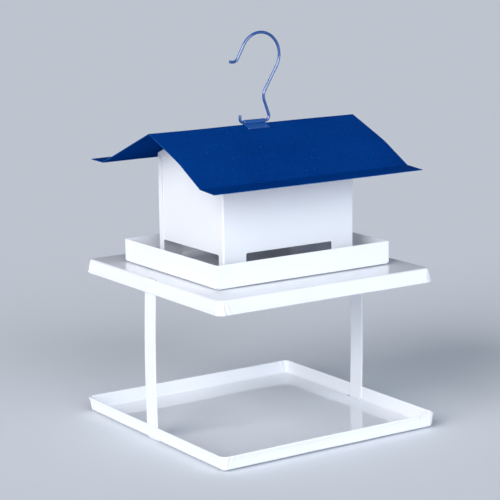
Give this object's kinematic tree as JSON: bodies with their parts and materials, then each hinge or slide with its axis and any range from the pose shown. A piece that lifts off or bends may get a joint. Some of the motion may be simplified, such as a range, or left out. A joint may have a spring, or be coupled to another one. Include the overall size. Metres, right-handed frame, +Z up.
{
  "type": "hanging bird feeder",
  "caption": "Hanging bird feeder of folded sheet metal: gabled seed hopper on a tray and square platform, fruit tray on straps below, sliding roof with a wire hook.",
  "frame": {"origin": "centre of the object's box at the height of the strap feet's undersides", "axes": "+Z up, X along the roof's ridge, -Y towards the side that faces the viewer most"},
  "size_m": [0.3056, 0.3136, 0.4745],
  "materials": {
    "white_paint": "gloss",
    "blue_paint": "semi-gloss",
    "zinc_steel": "zinc plated",
    "spacer_plastic": "matte"
  },
  "bodies": {
    "base": {"hopper_half_front": "white_paint", "hopper_half_back": "white_paint", "seed_tray": "white_paint", "platform": "white_paint", "strap_left": "white_paint", "strap_right": "white_paint", "fruit_tray": "white_paint", "clamp_screws": "zinc_steel", "tray_spacers": "spacer_plastic", "nut_washers": "zinc_steel", "clamp_nuts": "zinc_steel"},
    "roof": {"roof_sheet": "blue_paint", "roof_rail_front": "blue_paint", "roof_rail_back": "blue_paint", "hook_saddle": "blue_paint"},
    "hook": {"hook_wire": "blue_paint"}
  },
  "joints": [
    {"name": "roof_slide", "type": "slide", "parent": "base", "child": "roof", "axis": [1, 0, 0], "range_m": [-0.125, 0.125]},
    {"name": "hook_swing", "type": "hinge", "parent": "roof", "child": "hook", "pos_m": [0, 0, 0.36738], "axis": [1, 0, 0], "range_deg": [-110, 110]}
  ]
}
